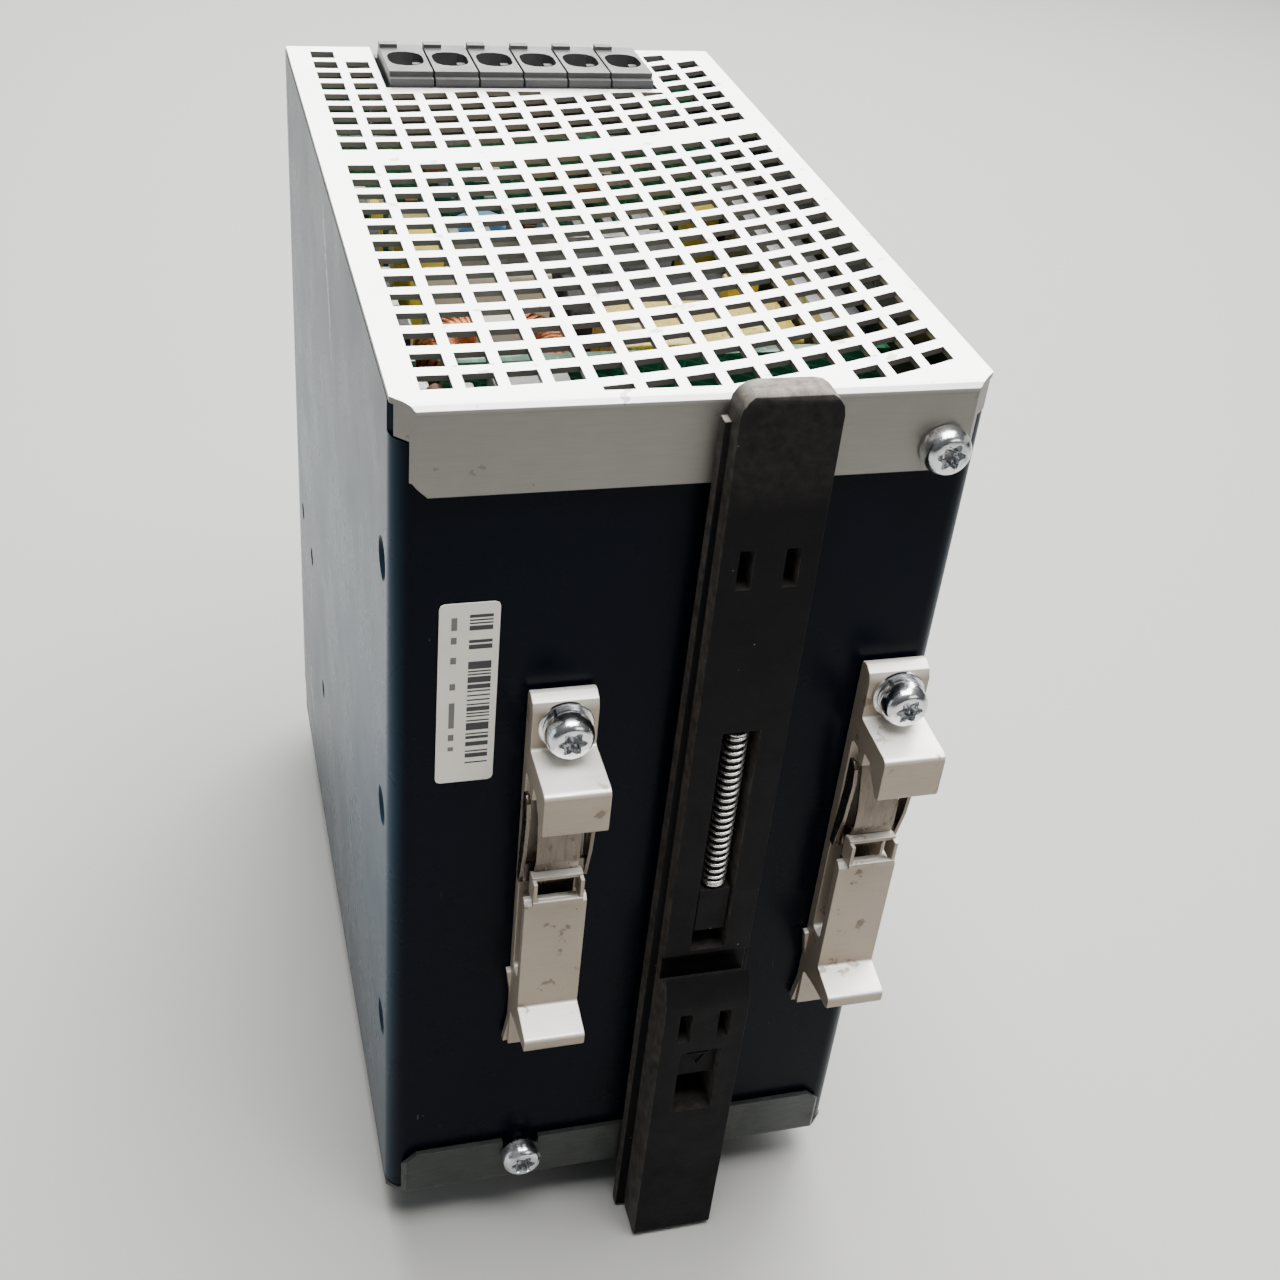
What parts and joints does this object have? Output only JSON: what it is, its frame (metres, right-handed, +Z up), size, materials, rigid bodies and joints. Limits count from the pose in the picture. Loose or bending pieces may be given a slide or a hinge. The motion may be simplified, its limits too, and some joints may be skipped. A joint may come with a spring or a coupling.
{
  "type": "din rail power supply",
  "caption": "DIN rail power supply: slim dark metal case with a perforated top cover, lever terminals at the front, and rail brackets with a sprung release slider on its back.",
  "frame": {"origin": "middle of the seat of the 35 mm rail, on the case's centre line in width and halfway up the rail", "axes": "+Y out of the back of the case towards the rail, +Z up along the case with the output terminals on top, +X along the rail"},
  "size_m": [0.065, 0.1325, 0.1337],
  "materials": {
    "navy_paint": "smooth dark navy paint, satin",
    "zinc_sheet": "bare zinc-plated sheet steel",
    "grey_sheet": "dull grey plated sheet steel",
    "bracket_aluminium": "satin extrusion",
    "spring_steel": "bright spring steel",
    "zinc_screw": "bright zinc plating",
    "black_plastic": "fine grained black",
    "terminal_plastic": "dark grey",
    "lever_plastic": "near black",
    "front_plastic": "mid grey",
    "label_paper": "printed film label",
    "lamp_lens": "clear green lens",
    "trimmer_plastic": "ivory",
    "circuit_board": "green solder mask",
    "ferrite": "dark sintered ferrite",
    "yellow_tape": "polyester tape over the windings",
    "copper_wire": "enamelled copper",
    "capacitor_sleeve": "printed sleeve",
    "film_capacitor_case": "moulded case",
    "blue_ceramic": "epoxy dip",
    "heat_sink_metal": "plain sheet"
  },
  "bodies": {
    "case": {"housing": "navy_paint", "top_cover": "zinc_sheet", "bottom_cover": "grey_sheet", "front_panel": "front_plastic", "lamp_lens_1": "lamp_lens", "lamp_lens_2": "lamp_lens", "signal_terminal": "terminal_plastic", "output_pole_1": "terminal_plastic", "output_pole_2": "terminal_plastic", "output_pole_3": "terminal_plastic", "output_pole_4": "terminal_plastic", "output_pole_5": "terminal_plastic", "output_pole_6": "terminal_plastic", "input_pole_1": "terminal_plastic", "input_pole_2": "terminal_plastic", "input_pole_3": "terminal_plastic", "input_pole_4": "terminal_plastic", "guide_lug": "black_plastic", "slider_spring": "spring_steel", "bracket_left": "bracket_aluminium", "bracket_clip_left": "spring_steel", "bracket_right": "bracket_aluminium", "bracket_clip_right": "spring_steel", "bracket_washer_left": "zinc_screw", "bracket_screw_left": "zinc_screw", "bracket_washer_right": "zinc_screw", "bracket_screw_right": "zinc_screw", "cover_screw_top": "zinc_screw", "cover_screw_bottom": "zinc_screw", "rating_label": "label_paper", "main_board": "circuit_board", "rear_board": "circuit_board", "front_board": "circuit_board", "transformer_core": "ferrite", "transformer_winding": "yellow_tape", "choke_core": "ferrite", "choke_winding": "copper_wire", "bulk_capacitor_1": "capacitor_sleeve", "bulk_capacitor_2": "capacitor_sleeve", "output_capacitor_1": "capacitor_sleeve", "output_capacitor_2": "capacitor_sleeve", "film_capacitor": "film_capacitor_case", "safety_capacitor": "blue_ceramic", "output_heat_sink": "heat_sink_metal", "side_heat_sink": "heat_sink_metal", "output_choke": "ferrite"},
    "release_slider": {"release_slider": "black_plastic"},
    "voltage_trimmer": {"voltage_trimmer": "trimmer_plastic"},
    "output_lever_1": {"output_lever_1": "lever_plastic"},
    "output_lever_2": {"output_lever_2": "lever_plastic"},
    "output_lever_3": {"output_lever_3": "lever_plastic"},
    "output_lever_4": {"output_lever_4": "lever_plastic"},
    "output_lever_5": {"output_lever_5": "lever_plastic"},
    "output_lever_6": {"output_lever_6": "lever_plastic"},
    "input_lever_1": {"input_lever_1": "lever_plastic"},
    "input_lever_2": {"input_lever_2": "lever_plastic"},
    "input_lever_3": {"input_lever_3": "lever_plastic"},
    "input_lever_4": {"input_lever_4": "lever_plastic"}
  },
  "joints": [
    {"name": "slider_pull", "type": "slide", "parent": "case", "child": "release_slider", "axis": [0, 0, -1], "range_m": [0, 0.006], "stiffness_N_per_m": 600, "springref_m": -0.015, "deforming": ["slider_spring"]},
    {"name": "output_lever_1_pivot", "type": "hinge", "parent": "case", "child": "output_lever_1", "pos_m": [0.0165, -0.1229, 0.0578], "axis": [-1, 0, 0], "range_deg": [0, 80]},
    {"name": "output_lever_2_pivot", "type": "hinge", "parent": "case", "child": "output_lever_2", "pos_m": [0.01, -0.1229, 0.0578], "axis": [-1, 0, 0], "range_deg": [0, 80]},
    {"name": "output_lever_3_pivot", "type": "hinge", "parent": "case", "child": "output_lever_3", "pos_m": [0.0035, -0.1229, 0.0578], "axis": [-1, 0, 0], "range_deg": [0, 80]},
    {"name": "output_lever_4_pivot", "type": "hinge", "parent": "case", "child": "output_lever_4", "pos_m": [-0.003, -0.1229, 0.0578], "axis": [-1, 0, 0], "range_deg": [0, 80]},
    {"name": "output_lever_5_pivot", "type": "hinge", "parent": "case", "child": "output_lever_5", "pos_m": [-0.0095, -0.1229, 0.0578], "axis": [-1, 0, 0], "range_deg": [0, 80]},
    {"name": "output_lever_6_pivot", "type": "hinge", "parent": "case", "child": "output_lever_6", "pos_m": [-0.016, -0.1229, 0.0578], "axis": [-1, 0, 0], "range_deg": [0, 80]},
    {"name": "input_lever_1_pivot", "type": "hinge", "parent": "case", "child": "input_lever_1", "pos_m": [0.0143, -0.1229, -0.0532], "axis": [1, 0, 0], "range_deg": [0, 80]},
    {"name": "input_lever_2_pivot", "type": "hinge", "parent": "case", "child": "input_lever_2", "pos_m": [0.0061, -0.1229, -0.0532], "axis": [1, 0, 0], "range_deg": [0, 80]},
    {"name": "input_lever_3_pivot", "type": "hinge", "parent": "case", "child": "input_lever_3", "pos_m": [-0.0021, -0.1229, -0.0532], "axis": [1, 0, 0], "range_deg": [0, 80]},
    {"name": "input_lever_4_pivot", "type": "hinge", "parent": "case", "child": "input_lever_4", "pos_m": [-0.0103, -0.1229, -0.0532], "axis": [1, 0, 0], "range_deg": [0, 80]},
    {"name": "trimmer_turn", "type": "hinge", "parent": "case", "child": "voltage_trimmer", "pos_m": [0.0255, -0.119, 0.0283], "axis": [0, -1, 0], "range_deg": [-135, 135]}
  ]
}
